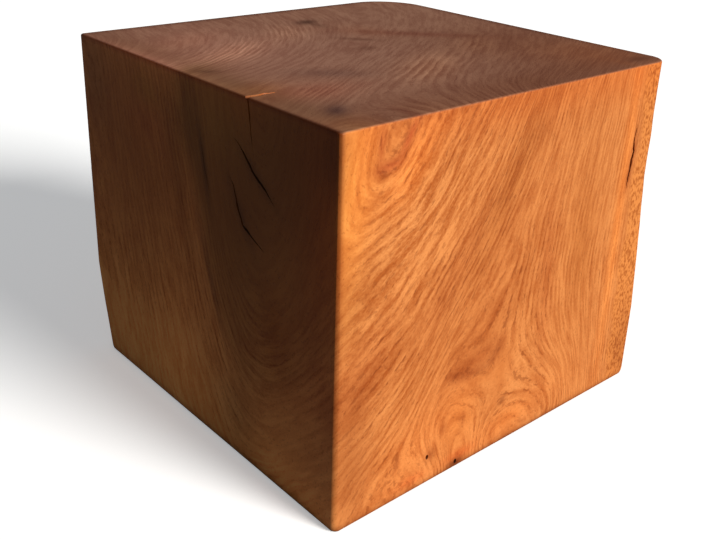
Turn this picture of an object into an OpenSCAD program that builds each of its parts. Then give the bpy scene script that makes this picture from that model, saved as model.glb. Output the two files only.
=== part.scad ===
// Squared block of solid hardwood standing on one sawn end: end grain on top, long grain on
// the four sides. One corner is sanded round, two upright edges keep a little of the log's
// natural wane, and drying checks and borer holes break the faces.
// Origin at the middle of the foot, X across the front face, Y to the back, Z up. Millimetres.

/* [Block] */
// Height, along the grain
block_h = 300; // [220:1:400]
// Width of the front and back faces
block_w = 356; // [260:1:460]
// Depth from front to back, measured at the foot
foot_d = 350; // [260:1:460]
// How far the front and back faces each lean in by the top
face_lean = 4; // [0:0.5:10]

/* [Arrises] */
// Radius of the top arrises
top_arris_r = 1.5; // [0.8:0.1:4]
// Radius of the foot arris along the front and back faces
foot_arris_r = 2.5; // [1:0.5:8]
// Radius of the foot arris along the left face
left_foot_r = 3.5; // [1:0.5:10]
// Radius of the foot arris along the right face
right_foot_r = 8; // [2:0.5:14]

/* [Upright edges] */
// Radius of the sanded-round back right corner
back_corner_r = 48; // [20:1:70]
// Radius of the worn front left edge
nose_r = 5; // [3:0.5:9]
// How much the nose edge's cut fades towards the top
nose_fade = 0.8; // [0.2:0.1:1.2]
// Radius of the sharp back left edge above its wane
rear_edge_r = 2; // [1:0.5:5]

/* [Wane] */
// Radius of the shoulder wane at the top of the front right edge
shoulder_r = 17; // [10:1:26]
// Height at which the shoulder wane starts to fade
shoulder_z = 200; // [150:5:210]
// Length over which the shoulder wane fades to a sharp edge
shoulder_fade = 140; // [80:5:145]
// Radius of the toe wane at the foot of the back left edge
toe_r = 24; // [12:1:32]
// Height at which the toe wane runs out
toe_h = 100; // [60:5:150]

/* [Drying checks] */
// Width of the widest drying check at the surface
check_w = 1.8; // [0.8:0.1:3]
// Depth of the deepest drying check
check_depth = 14; // [5:1:24]
// Distance of the arris check from the front of the foot
arris_check_y = 99; // [70:1:130]
// Length of the arris check down the left face
arris_check_len = 34; // [20:1:60]
// Width of the long split beside the right edge
split_w = 2.6; // [1:0.1:4]
// Length of that split
split_len = 58; // [40:1:80]
// Distance of that split from the right face
split_inset = 37; // [30:1:50]
// Distance of that split below the top
split_top = 50; // [30:1:80]

/* [Small marks] */
// Diameter of a borer hole
borer_d = 2.4; // [1.5:0.1:4]
// Depth of a borer hole
borer_depth = 12; // [4:1:25]
// Width of the nick in the top left arris
nick_w = 5; // [2:0.5:9]

/* [Hidden] */

wood = "#B5672F";
smooth = 96;                       // facets round a full circle
over = 5;                          // how far a cutter runs past what it cuts
top_d = foot_d - 2 * face_lean;
left_x = -block_w / 2;
right_x = block_w / 2;
front_y = -foot_d / 2;
back_y = foot_d / 2;

// An arc that meets its faces at this angle leaves a worn edge, not a machined fillet
meet_angle = 8;
// The finer checks beside the widest one
fine_w = 0.7 * check_w;
fine_depth = 0.6 * check_depth;
split_jag = 1.5;                   // how far the split's corners stand to either side
nick_from_front = 52;              // along the top left arris
borers = [[93, 25], [126, 6]];     // borer holes: from the left edge, above the foot

// Share of a cylinder's radius by which its axis may come in before it clears a square corner
clear_share = sqrt(1 / 2);

// Place on the front face at height z, which leans in towards the top
function front_at(z) = front_y + face_lean * z / block_h;

// Inset of the axis that gives a full round of radius r on a square corner
function full_inset(r) = r * cos(meet_angle);

// ---- Sawn faces and their arrises --------------------------------------------------------

// What an arc of radius r leaves outside it, on a corner at the origin with the stock in +X +Y
module corner_waste(r) {
    inset = full_inset(r);
    difference() {
        translate([-over, -over]) square(inset + over);
        translate([inset, inset]) circle(r, $fn = smooth);
    }
}

// Outline seen from the front: plumb sides, arrises eased at the top and at the foot
module front_outline() {
    difference() {
        translate([left_x, 0]) square([block_w, block_h]);
        translate([left_x, 0]) corner_waste(left_foot_r);
        translate([right_x, 0]) mirror([1, 0]) corner_waste(right_foot_r);
        for (side = [0, 1])
            mirror([side, 0]) translate([left_x, block_h]) mirror([0, 1]) corner_waste(top_arris_r);
    }
}

// Outline seen from the left: the front and back lean in towards the top
module side_outline() {
    difference() {
        polygon([[front_y, 0], [back_y, 0], [top_d / 2, block_h], [-top_d / 2, block_h]]);
        for (side = [0, 1]) mirror([side, 0]) {
            translate([front_y, 0]) corner_waste(foot_arris_r);
            translate([-top_d / 2, block_h]) mirror([0, 1]) corner_waste(top_arris_r);
        }
    }
}

module sawn_stock() {
    intersection() {
        translate([0, foot_d / 2 + over, 0]) rotate([90, 0, 0])
            linear_extrude(foot_d + 2 * over) front_outline();
        translate([-block_w / 2 - over, 0, 0]) rotate([90, 0, 90])
            linear_extrude(block_w + 2 * over) side_outline();
    }
}

// ---- Upright edges -----------------------------------------------------------------------

// Waste outside a round bar that stands in a corner at the origin, stock in +X +Y. The bar's
// axis is low_in from both faces at the foot and high_in at the top, and follows the lean.
module upright_waste(r, low_in, high_in) {
    shift_x = high_in - low_in;
    shift_y = shift_x + face_lean;
    length = block_h + 2 * over;
    reach = r + 2 * over;
    translate([low_in, low_in, 0])
        rotate([-atan2(shift_y, norm([shift_x, block_h])), atan2(shift_x, block_h), 0])
            translate([0, 0, -over]) difference() {
                translate([-reach, -reach, 0]) cube([reach, reach, length]);
                translate([0, 0, -over]) cylinder(h = length + 2 * over, r = r, $fn = smooth);
            }
}

// The same waste, kept between two heights
module upright_waste_between(r, low_in, high_in, z_low, z_high) {
    reach = 3 * r;
    intersection() {
        upright_waste(r, low_in, high_in);
        translate([-reach, -reach, z_low]) cube([2 * reach, 2 * reach, z_high - z_low]);
    }
}

// Inset at height z of an axis that is full at z_full and clears the corner at z_clear
function fading_inset(r, z, z_full, z_clear) =
    full_inset(r) + (clear_share * r - full_inset(r)) * (z - z_full) / (z_clear - z_full);

// Front left: worn most at the foot, nearly crisp at the top
module nose_edge() {
    full = full_inset(nose_r);
    translate([left_x, front_y, 0]) upright_waste(nose_r, full, full - nose_fade);
}

// Front right: full wane above shoulder_z, fading out below it
module shoulder_wane() {
    full = full_inset(shoulder_r);
    z_clear = shoulder_z - shoulder_fade;
    translate([right_x, front_y, 0]) mirror([1, 0, 0]) {
        upright_waste_between(shoulder_r, full, full, shoulder_z, block_h + over);
        upright_waste_between(
            shoulder_r,
            fading_inset(shoulder_r, 0, shoulder_z, z_clear),
            fading_inset(shoulder_r, block_h, shoulder_z, z_clear),
            -over, shoulder_z);
    }
}

// Back left: crisp above, opening into wane at the foot
module toe_wane() {
    full = full_inset(rear_edge_r);
    translate([left_x, back_y, 0]) mirror([0, 1, 0]) {
        upright_waste(rear_edge_r, full, full);
        upright_waste_between(
            toe_r,
            full_inset(toe_r),
            fading_inset(toe_r, block_h, 0, toe_h),
            -over, toe_h);
    }
}

// Back right: one generous sanded round
module back_corner() {
    full = full_inset(back_corner_r);
    translate([right_x, back_y, 0]) mirror([1, 0, 0]) mirror([0, 1, 0])
        upright_waste(back_corner_r, full, full);
}

// ---- Drying checks -----------------------------------------------------------------------

// A slit cut down from the plane z = 0 through the corners of a run: as wide as w at each
// corner between, closing to nothing at both ends
module slit(run, w, d) {
    last = len(run) - 1;
    function side(i) =
        let (along = run[i + 1] - run[i - 1]) w / 2 * [-along.y, along.x] / norm(along);
    translate([0, 0, -d]) linear_extrude(d + over) polygon([
        run[0],
        for (i = [1:last - 1]) run[i] + side(i),
        run[last],
        for (i = [last - 1:-1:1]) run[i] - side(i)
    ]);
}

// Left face: one check runs over the top arris, two curl round the heart below it. Corners
// are [forward, up] from where the arris check leaves the top.
module left_checks() {
    y0 = front_y + arris_check_y;
    translate([left_x, y0, block_h]) rotate([90, 0, -90]) {
        slit([[-4, arris_check_len], [0, 0], [4, -arris_check_len]], check_w, check_depth);
        slit([[-15, -35], [-3, -45], [5, -52], [30, -69]], fine_w, fine_depth);
        slit([[-24, -62], [-17, -78], [-9, -94], [20, -108]], fine_w, fine_depth);
    }
}

// Front face: a jagged split close to the right edge
module front_split() {
    step = split_len / 4;
    translate([right_x - split_inset, front_y, block_h - split_top]) rotate([90, 0, 0])
        slit([for (i = [0:4]) [(i % 2 ? -split_jag : split_jag) - i, -i * step]], split_w, check_depth);
}

// ---- Small marks -------------------------------------------------------------------------

// A borer hole in the front face
module borer_hole(x, z) {
    translate([x, front_at(z) - over, z]) rotate([-90, 0, 0])
        cylinder(h = borer_depth + over, d = borer_d, $fn = 24);
}

// A nick knocked out of the top left arris, as a ball pressed into it from outside
module arris_nick() {
    standoff = nick_w / 4;
    translate([left_x - standoff, front_y + nick_from_front, block_h + standoff])
        sphere(d = nick_w, $fn = 24);
}

module block() {
    color(wood) difference() {
        sawn_stock();
        nose_edge();
        shoulder_wane();
        toe_wane();
        back_corner();
        left_checks();
        front_split();
        for (hole = borers) borer_hole(left_x + hole.x, hole.y);
        arris_nick();
    }
}

block();
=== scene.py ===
"""A squared block of oiled hardwood, dressed over its CAD frame.

The block stands on one sawn end. Its skin, arrises, wane, drying checks and borer holes are
built as one mesh, and the wood's growth rings are worked out as one field through the whole
block, so that the rings run on from face to face.
"""

import logging
import math
from dataclasses import dataclass, field
from enum import Enum
from typing import Any

import bmesh
import bpy
import numpy as np
from mathutils import Matrix, Vector, noise
from mathutils.bvhtree import BVHTree


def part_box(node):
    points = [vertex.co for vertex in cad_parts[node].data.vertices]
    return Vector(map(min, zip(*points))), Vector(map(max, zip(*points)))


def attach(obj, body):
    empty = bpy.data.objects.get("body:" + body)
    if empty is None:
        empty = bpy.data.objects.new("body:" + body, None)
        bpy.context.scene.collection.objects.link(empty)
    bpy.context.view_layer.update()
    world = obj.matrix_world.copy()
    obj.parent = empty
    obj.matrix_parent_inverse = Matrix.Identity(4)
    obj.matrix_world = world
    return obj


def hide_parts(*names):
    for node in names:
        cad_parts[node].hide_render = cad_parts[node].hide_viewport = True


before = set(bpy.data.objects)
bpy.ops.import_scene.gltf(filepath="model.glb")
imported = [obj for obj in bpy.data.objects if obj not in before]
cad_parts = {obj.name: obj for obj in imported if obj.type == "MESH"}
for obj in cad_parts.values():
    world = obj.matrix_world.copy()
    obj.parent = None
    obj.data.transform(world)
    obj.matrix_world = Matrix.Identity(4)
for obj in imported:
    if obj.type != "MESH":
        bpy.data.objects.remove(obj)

MM = 0.001
NODE = "block"
BODY = "root"

log = logging.getLogger("block")

Point = tuple[float, float]
Tree = bpy.types.NodeTree
Socket = bpy.types.NodeSocket

# Keeps a round a hair larger than the least one that reaches both faces
JUST_OVER = 1.001
# The colour that the mesh stores on each point, by which the finish is multiplied
TINT = "tint"


def linear(hex_colour: str) -> tuple[float, float, float, float]:
    """Turns an sRGB hex colour into the linear colour that a shader works in.

    Args:
        hex_colour: The colour as "#RRGGBB".

    Returns:
        Linear red, green and blue, and an alpha of 1.
    """
    parts = [int(hex_colour[i:i + 2], 16) / 255 for i in (1, 3, 5)]
    curve = [c / 12.92 if c <= 0.04045 else ((c + 0.055) / 1.055) ** 2.4 for c in parts]
    return (*curve, 1.0)


def add_node(
    tree: Tree,
    kind: str,
    inputs: dict[int | str, Any] | None = None,
    output: int | str = 0,
    **settings: Any,
) -> Socket | None:
    """Adds one shader node, sets it and links it.

    Args:
        tree: The node tree that the node goes into.
        kind: Blender's name for the node type, without the "ShaderNode" that starts it.
        inputs: A constant, or an output socket to link, for each named or numbered input.
        output: The name or number of the output to hand on.
        settings: The node's own settings, by attribute name.

    Returns:
        The output socket, or None for a node that has no output.
    """
    node = tree.nodes.new("ShaderNode" + kind)
    for name, value in settings.items():
        setattr(node, name, value)
    for key, value in (inputs or {}).items():
        if isinstance(value, Socket):
            tree.links.new(value, node.inputs[key])
        else:
            node.inputs[key].default_value = value
    return node.outputs[output] if node.outputs else None


def put_in_scene(name: str, data: bpy.types.ID) -> bpy.types.Object:
    """Makes an object of a mesh, lamp or camera and puts it in the scene.

    Args:
        name: The object's name.
        data: The mesh, lamp or camera.

    Returns:
        The object.
    """
    thing = bpy.data.objects.new(name, data)
    bpy.context.scene.collection.objects.link(thing)
    return thing


def smooth_step(value: np.ndarray | float) -> np.ndarray:
    """Eases a value from 0 to 1 and holds it outside that range."""
    held = np.clip(value, 0.0, 1.0)
    return held * held * (3.0 - 2.0 * held)


def drift(points: np.ndarray, step: float, seed: float) -> np.ndarray:
    """Gives smooth, repeatable noise at a set of points.

    Args:
        points: One point a row, in millimetres.
        step: The distance over which the noise changes, in millimetres.
        seed: Shifts the pattern, so that two uses differ.

    Returns:
        One value a point, from about -1 to 1.
    """
    shifted = points / step + seed
    return np.array([noise.noise(Vector(p)) for p in shifted])


@dataclass(frozen=True)
class Waver:
    """A slow, repeatable waver of a surface: its depth, and how far apart its hollows lie."""

    depth: float
    length: float
    seed: float

    def at(self, points: np.ndarray) -> np.ndarray:
        """Depth of the waver at each point, from nothing to its full depth."""
        return self.depth * (0.5 + 0.5 * drift(points, self.length, self.seed))


class Face(Enum):
    """The faces of the block, as its maker would name them."""

    FRONT = "front"
    RIGHT = "right"
    BACK = "back"
    LEFT = "left"
    TOP = "top"


class Stored(Enum):
    """The numbers that the mesh stores on each point, for the finish to read."""

    RING = "ring"
    DEEP = "deep"
    FLECK = "fleck"
    CLEAR = "clear"
    CALM = "calm"


# ---- The wood ----------------------------------------------------------------------------


@dataclass(frozen=True)
class BlockShape:
    """Sizes of the squared block in millimetres, taken from the frame where it has them."""

    width: float
    foot_depth: float
    height: float
    face_lean: float = 4.0

    @classmethod
    def from_frame(cls, low: Vector, high: Vector) -> "BlockShape":
        """Measures the block on its CAD solid.

        Args:
            low: Lowest corner of the solid, in metres.
            high: Highest corner of the solid, in metres.

        Returns:
            The block's sizes.
        """
        size = (high - low) / MM
        return cls(width=size.x, foot_depth=size.y, height=size.z)

    def half_depth(self, z: float | np.ndarray) -> float | np.ndarray:
        """Half of the depth at height z, because front and back lean in towards the top."""
        return self.foot_depth / 2 - self.face_lean * z / self.height

    def on_face(self, face: Face, along: float, up: float) -> tuple[float, float, float]:
        """Places a point of a face in the block's frame.

        Args:
            face: The face that the point is on.
            along: Distance from the face's left edge; on top, from the left face.
            up: Distance above the foot; on top, from the front face.

        Returns:
            The point, in millimetres.
        """
        half_w = self.width / 2
        half_d = self.half_depth(self.height)
        if face is Face.FRONT:
            return along - half_w, -self.half_depth(up), up
        if face is Face.RIGHT:
            return half_w, along - half_d, up
        if face is Face.BACK:
            return half_w - along, self.half_depth(up), up
        if face is Face.LEFT:
            return -half_w, half_d - along, up
        return along - half_w, up - half_d, self.height


@dataclass
class BlockSkin:
    """The sawn and sanded skin: faces, arrises, rounded edges and wane, as a closed grid.

    Sizes are in millimetres. The nose is the front left edge, the shoulder the wane at the top
    of the front right one and the toe the wane at the foot of the back left one. Foot rises
    and top drops place the outlines that round each arris.
    """

    shape: BlockShape
    cell: float = 3.0
    arc_cells: int = 12
    meet_angle: float = math.radians(8)
    top_arris_r: float = 1.5
    foot_arris_r: dict[Face, float] = field(default_factory=lambda: {
        Face.FRONT: 2.5, Face.RIGHT: 8.0, Face.BACK: 2.5, Face.LEFT: 3.5,
    })
    nose_r: float = 5.0
    nose_fade: float = 0.8
    shoulder_r: float = 17.0
    shoulder_z: float = 200.0
    shoulder_fade: float = 140.0
    back_corner_r: float = 48.0
    rear_edge_r: float = 2.0
    toe_r: float = 24.0
    toe_h: float = 100.0
    least_easing: float = 0.9
    wane_shows_at: float = 1.0
    wane_full_over: float = 3.0
    # Wane is rough near its edge, and the shoulder more so the higher it is
    shoulder_rough_z: float = 90.0
    shoulder_rough_over: float = 110.0
    shoulder_rough: Point = (8.0, 12.0)
    toe_rough: Point = (10.0, 14.0)
    foot_rises: tuple[float, ...] = (0.0, 0.4, 0.9, 1.5, 2.2, 3.1, 4.3, 5.9, 8.0)
    top_drops: tuple[float, ...] = (0.0, 0.15, 0.4, 0.75, 1.15, 1.6)
    cap_passes: int = 120
    sanding: Waver = Waver(0.25, 70.0, 3.1)
    wane_waver: Waver = Waver(0.9, 11.0, 8.7)
    end_waver: Waver = Waver(0.15, 60.0, 5.5)
    wane_stretch: float = 2.0

    def eased(self, rise: float, radius: float) -> float:
        """Works out how far a face stands back beside its arris.

        Args:
            rise: Distance from the face that the arris leads to.
            radius: Radius of the arris.

        Returns:
            The distance.
        """
        centre = radius * math.cos(self.meet_angle)
        if rise >= centre:
            return 0.0
        return max(0.0, centre - math.sqrt(max(radius ** 2 - (centre - rise) ** 2, 0.0)))

    def cut_back(self, radius: float, axis_in: float) -> float:
        """How far a round of that radius eats into each face, for its axis that far in."""
        return axis_in - math.sqrt(max(radius ** 2 - axis_in ** 2, 0.0))

    def corner_cuts(self, z: float) -> list[tuple[float, float]]:
        """Gives each upright edge's wear at a height.

        Args:
            z: Height above the foot.

        Returns:
            (distance eaten into each face, radius) for the edges front left, front right,
            back right and back left.
        """
        full = math.cos(self.meet_angle)
        clear = math.sqrt(0.5)
        nose_axis = self.nose_r * full - self.nose_fade * z / self.shape.height
        nose = self.cut_back(self.nose_r, nose_axis), self.nose_r

        fading = min(max((self.shoulder_z - z) / self.shoulder_fade, 0.0), 1.0)
        axis = self.shoulder_r * (full + (clear - full) * fading)
        shoulder = self.worn(self.cut_back(self.shoulder_r, axis), self.shoulder_r, 0.0)

        round_axis = self.back_corner_r * full
        rounded = self.cut_back(self.back_corner_r, round_axis), self.back_corner_r

        fading = min(z / self.toe_h, 1.0)
        axis = self.toe_r * (full + (clear - full) * fading)
        crisp = self.cut_back(self.rear_edge_r, self.rear_edge_r * full)
        toe = self.worn(self.cut_back(self.toe_r, axis), self.toe_r, crisp)
        return [nose, shoulder, rounded, toe]

    def worn(self, cut: float, radius: float, least: float) -> tuple[float, float]:
        """Keeps a fading wane from ending in a knife edge.

        Args:
            cut: Distance that the wane eats into each face.
            radius: Radius of the wane at its fullest.
            least: The least distance that the edge is eased by.

        Returns:
            The distance and the radius to use.
        """
        cut = max(cut, least, self.least_easing)
        own_round = cut / self.cut_back(1.0, math.cos(self.meet_angle))
        share = float(smooth_step((cut - self.wane_shows_at) / self.wane_full_over))
        return cut, own_round + (radius - own_round) * share

    def arc(self, cut: float, radius: float) -> np.ndarray:
        """Points of a worn corner at the origin, with the wood in +X +Y.

        Args:
            cut: Distance that the arc eats into each face.
            radius: Radius of the arc.

        Returns:
            One point a row, from the face along Y to the face along X.
        """
        radius = max(radius, cut / math.sqrt(2.0) * JUST_OVER)
        axis = (cut + math.sqrt(2 * radius ** 2 - cut ** 2)) / 2
        reach = axis - cut
        start = math.atan2(-reach, -axis)
        end = math.atan2(-axis, -reach)
        turn = np.linspace(start, end, self.arc_cells + 1)
        return np.column_stack([axis + radius * np.cos(turn), axis + radius * np.sin(turn)])

    def level(self, z: float, rise: float, at_top: bool) -> np.ndarray:
        """Outline of the block at one height.

        Args:
            z: Height above the foot, for the lean and the wane.
            rise: Height above the foot, or depth below the top, for the arris.
            at_top: Whether the arris is the top one.

        Returns:
            One plan point a row, anticlockwise from the middle of the front left edge.
        """
        radii = {face: self.top_arris_r if at_top else r for face, r in self.foot_arris_r.items()}
        inset = {face: self.eased(rise, radius) for face, radius in radii.items()}
        half_w = self.shape.width / 2
        half_d = self.shape.half_depth(z)
        corners = [
            (-half_w + inset[Face.LEFT], -half_d + inset[Face.FRONT]),
            (half_w - inset[Face.RIGHT], -half_d + inset[Face.FRONT]),
            (half_w - inset[Face.RIGHT], half_d - inset[Face.BACK]),
            (-half_w + inset[Face.LEFT], half_d - inset[Face.BACK]),
        ]
        arcs = []
        for turn, (corner, cut) in enumerate(zip(corners, self.corner_cuts(z))):
            quarter = turn * math.pi / 2
            spin = np.array([[math.cos(quarter), math.sin(quarter)],
                             [-math.sin(quarter), math.cos(quarter)]])
            arcs.append(self.arc(*cut) @ spin + corner)
        half_arc = self.arc_cells // 2
        cells = self.straight_cells()
        outline = []
        for turn in range(4):
            here, ahead = arcs[turn], arcs[(turn + 1) % 4]
            outline.append(here[half_arc:-1])
            run = np.linspace(0.0, 1.0, cells + 1)[:-1, None]
            outline.append(here[-1] * (1 - run) + ahead[0] * run)
            outline.append(ahead[:half_arc])
        return np.vstack(outline)

    def straight_cells(self) -> int:
        """Cells along the straight of one side, the same for all four."""
        return int(round(self.shape.width / self.cell)) - self.arc_cells

    def heights(self) -> list[tuple[float, float, bool]]:
        """Heights of the outlines, close together round the arrises.

        Returns:
            (height, distance from that arris's face, whether it is the top one) each.
        """
        top = self.shape.height
        first, last = self.foot_rises[-1], top - self.top_drops[-1]
        count = int(round((last - first) / self.cell))
        between = np.linspace(first, last, count + 1)[1:-1]
        levels = [(rise, rise, False) for rise in self.foot_rises]
        levels += [(float(z), math.inf, False) for z in between]
        levels += [(top - drop, drop, True) for drop in reversed(self.top_drops)]
        return levels

    def cap(self, rim: np.ndarray) -> np.ndarray:
        """Fills an outline with a square grid that its own points border.

        Args:
            rim: The outline's plan points.

        Returns:
            Plan points as a square array of rows.
        """
        side = len(rim) // 4
        closed = np.vstack([rim, rim[:1]])
        front = closed[0:side + 1]
        right = closed[side:2 * side + 1]
        back = closed[2 * side:3 * side + 1][::-1]
        left = closed[3 * side:4 * side + 1][::-1]
        s = np.linspace(0, 1, side + 1)[None, :, None]
        t = np.linspace(0, 1, side + 1)[:, None, None]
        grid = (1 - t) * front[None] + t * back[None] + (1 - s) * left[:, None] + s * right[:, None]
        grid = grid - ((1 - s) * (1 - t) * front[0] + s * (1 - t) * front[-1]
                       + (1 - s) * t * back[0] + s * t * back[-1])
        for _ in range(self.cap_passes):
            grid[1:-1, 1:-1] = (grid[:-2, 1:-1] + grid[2:, 1:-1]
                                + grid[1:-1, :-2] + grid[1:-1, 2:]) / 4
        return grid

    def sanded(self, rings: np.ndarray) -> np.ndarray:
        """Lets the sides waver a little inward, as hand sanding leaves them, and the wane more.

        Args:
            rings: Outlines by height, as points in space.

        Returns:
            The same outlines, moved inward.
        """
        along = np.roll(rings, -1, axis=1) - np.roll(rings, 1, axis=1)
        out = np.stack([along[..., 1], -along[..., 0], np.zeros(along.shape[:2])], axis=-1)
        out /= np.linalg.norm(out, axis=-1, keepdims=True)
        flat = rings.reshape(-1, 3)
        drawn_out = flat * (1.0, 1.0, 1 / self.wane_stretch)
        depth = self.sanding.at(flat)
        depth += self.wane_waver.at(drawn_out) * self.on_wane(flat)
        return rings - out * depth.reshape(rings.shape[:2])[..., None]

    def on_wane(self, points: np.ndarray) -> np.ndarray:
        """Works out how much each point lies on natural wane.

        Args:
            points: One point a row.

        Returns:
            A share from 0 to 1 each.
        """
        half_w, half_d = self.shape.width / 2, self.shape.foot_depth / 2
        shoulder = np.hypot(points[:, 0] - half_w, points[:, 1] + half_d)
        toe = np.hypot(points[:, 0] + half_w, points[:, 1] - half_d)
        high = smooth_step((points[:, 2] - self.shoulder_rough_z) / self.shoulder_rough_over)
        low = smooth_step((self.toe_h - points[:, 2]) / self.toe_h)
        on_shoulder = high * self.beside_edge(shoulder, self.shoulder_rough)
        on_toe = low * self.beside_edge(toe, self.toe_rough)
        return np.maximum(on_shoulder, on_toe)

    def beside_edge(self, gone: np.ndarray, rough: Point) -> np.ndarray:
        """Fades from 1 within a first distance of an edge to 0 over a second one."""
        return smooth_step(1 - (gone - rough[0]) / rough[1])

    def build(self) -> bpy.types.Mesh:
        """Builds the closed skin.

        Returns:
            The mesh, in metres.
        """
        levels = self.heights()
        rings = np.array([
            np.column_stack([self.level(z, rise, top), np.full(self.around(), z)])
            for z, rise, top in levels
        ])
        rings = self.sanded(rings)
        count = self.around()
        points = [rings.reshape(-1, 3)]
        faces: list[tuple[int, ...]] = []
        for row in range(len(levels) - 1):
            here, above = row * count, (row + 1) * count
            for i in range(count):
                j = (i + 1) % count
                faces.append((here + i, here + j, above + j, above + i))
        start = len(levels) * count
        for row, is_top in ((0, False), (len(levels) - 1, True)):
            rim = rings[row]
            grid = self.cap(rim[:, :2])
            side = count // 4
            index = self.cap_index(side, row * count, start)
            inner = grid[1:-1, 1:-1].reshape(-1, 2)
            inner = np.column_stack([inner, np.full(len(inner), rim[0, 2])])
            if is_top:
                inner[:, 2] -= self.end_waver.at(inner)
            points.append(inner)
            start += len(inner)
            for b in range(side):
                for a in range(side):
                    quad = (index[b][a], index[b][a + 1], index[b + 1][a + 1], index[b + 1][a])
                    faces.append(quad if is_top else quad[::-1])
        mesh = bpy.data.meshes.new("block_skin")
        mesh.from_pydata((np.vstack(points) * MM).tolist(), [], faces)
        mesh.validate()
        return mesh

    def around(self) -> int:
        """Number of points in each outline."""
        return 4 * (self.straight_cells() + self.arc_cells)

    def cap_index(self, side: int, rim_start: int, inner_start: int) -> list[list[int]]:
        """Numbers the points of a cap.

        Args:
            side: Cells along one side of the cap.
            rim_start: Number of the first point of its outline.
            inner_start: Number of the first point inside it.

        Returns:
            Point numbers, as rows of a square.
        """
        index = np.zeros((side + 1, side + 1), int)
        run = np.arange(side + 1)
        index[0, :] = rim_start + run
        index[:, -1] = rim_start + side + run
        index[-1, :] = rim_start + 3 * side - run
        index[:, 0] = rim_start + (4 * side - run) % (4 * side)
        index[1:-1, 1:-1] = inner_start + np.arange((side - 1) ** 2).reshape(side - 1, side - 1)
        return index.tolist()


@dataclass(frozen=True)
class Check:
    """A drying check: a crack that follows a run of corners and closes at both ends.

    Attributes:
        face: The face that it opens in.
        run: Its corners, in millimetres along and up the face.
        width: Its width at the widest, in millimetres.
        depth: Its depth, in millimetres.
        ragged: How far it wanders from its run.
        step: How often it wanders, in millimetres.
    """

    face: Face
    run: tuple[Point, ...]
    width: float
    depth: float
    ragged: float = 0.35
    step: float = 2.5


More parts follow.
